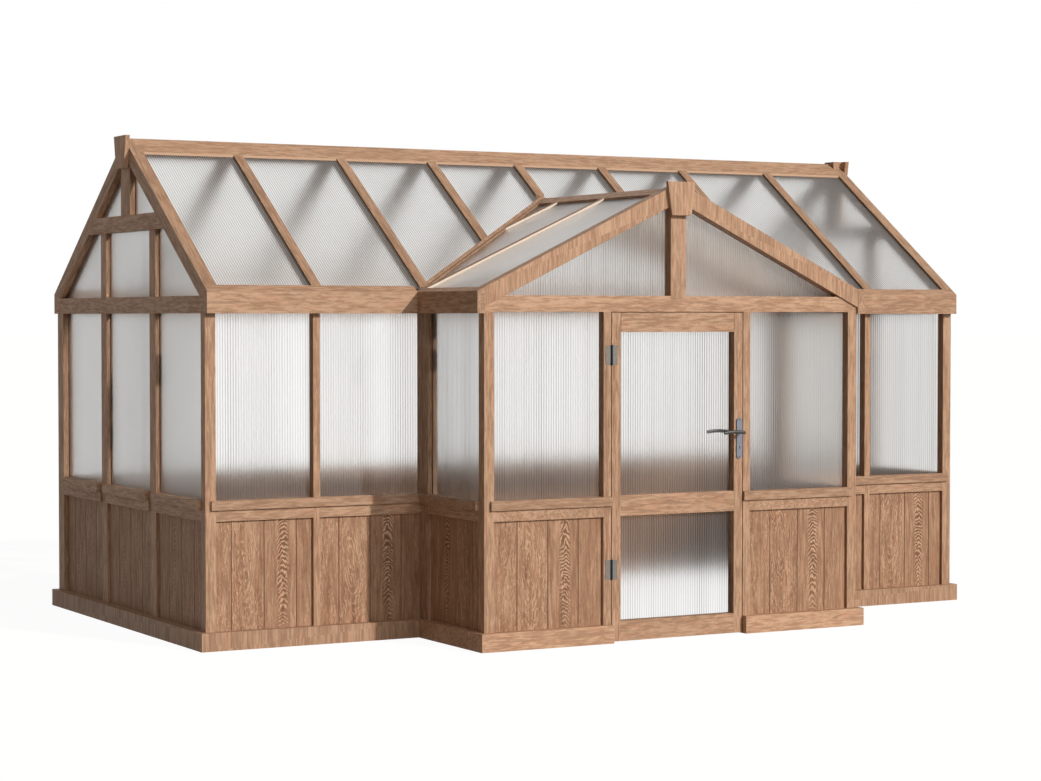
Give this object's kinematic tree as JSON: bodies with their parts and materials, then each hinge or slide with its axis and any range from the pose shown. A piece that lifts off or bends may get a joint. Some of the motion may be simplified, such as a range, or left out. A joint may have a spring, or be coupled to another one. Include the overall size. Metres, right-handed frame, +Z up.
{
  "type": "timber greenhouse with entrance porch",
  "caption": "Timber greenhouse with a pitched roof, planked knee walls, twin wall sheet glazing and a gabled porch with a hinged, lever latched door.",
  "frame": {"origin": "middle of the box round the whole building, on the ground", "axes": "+X along the ridge to the right of someone who faces the door from outside, +Y from the porch door to the rear wall, +Z up"},
  "size_m": [4.9, 3.1654, 2.7178],
  "materials": {
    "timber": "planed, oiled softwood, satin",
    "planks": "planed, oiled softwood with flat sawn grain, satin",
    "twin_wall_sheet": "clear ribbed twin wall sheet, translucent",
    "zinc_steel": "zinc plated, dull",
    "dark_steel": "blackened, satin",
    "satin_metal": "satin"
  },
  "bodies": {
    "house": {"base_beams": "timber", "porch_base_beams": "timber", "corner_posts": "timber", "junction_posts": "timber", "porch_posts": "timber", "door_posts": "timber", "wall_studs": "timber", "gable_studs": "timber", "main_sills": "timber", "gable_sills": "timber", "porch_sills": "timber", "main_rails": "timber", "gable_rails": "timber", "porch_rails": "timber", "front_planks": "planks", "rear_planks": "planks", "gable_planks": "planks", "porch_planks": "planks", "front_panes": "twin_wall_sheet", "rear_panes": "twin_wall_sheet", "gable_panes": "twin_wall_sheet", "porch_panes": "twin_wall_sheet", "eave_boards": "timber", "porch_eave_boards": "timber", "wall_plates": "timber", "porch_plates": "timber", "gable_ties": "timber", "gable_barges": "timber", "king_posts": "timber", "keystones": "timber", "porch_tie": "timber", "porch_barges": "timber", "ridge_board": "timber", "ridge_caps": "timber", "front_rafters": "timber", "rear_rafters": "timber", "valley_rafters": "timber", "porch_ridge_board": "timber", "porch_ridge_caps": "timber", "porch_rafters": "timber", "front_roof_sheets": "twin_wall_sheet", "rear_roof_sheets": "twin_wall_sheet", "porch_roof_sheets": "twin_wall_sheet", "door_stops": "timber", "frame_hinge_leaves": "zinc_steel", "hinge_pins": "dark_steel", "frame_hinge_screws": "zinc_steel", "keep_plate": "zinc_steel"},
    "door": {"door_stiles": "timber", "door_rails": "timber", "door_panes": "twin_wall_sheet", "door_hinge_leaves": "zinc_steel", "door_hinge_screws": "zinc_steel", "lever_plates": "satin_metal", "plate_screws": "dark_steel", "lock_case": "zinc_steel"},
    "lever": {"lever_handles": "satin_metal", "spindle": "zinc_steel"},
    "latch": {"latch_bolt": "zinc_steel"}
  },
  "joints": [
    {"name": "door_hinge", "type": "hinge", "parent": "house", "child": "door", "pos_m": [-0.4155, -1.52575, 0.9], "axis": [0, 0, -1], "range_deg": [0, 90]},
    {"name": "lever_turn", "type": "hinge", "parent": "door", "child": "lever", "pos_m": [0.391, -1.52075, 1.094], "axis": [0, -1, 0], "range_deg": [0, 40], "stiffness_Nm_per_rad": 2, "springref_deg": -11.46},
    {"name": "latch_slide", "type": "slide", "parent": "door", "child": "latch", "axis": [-1, 0, 0], "range_m": [0, 0.0121]}
  ],
  "couplings": [
    {"joint": "latch_slide", "follows": "lever_turn", "m_per_rad": 0.0171}
  ]
}
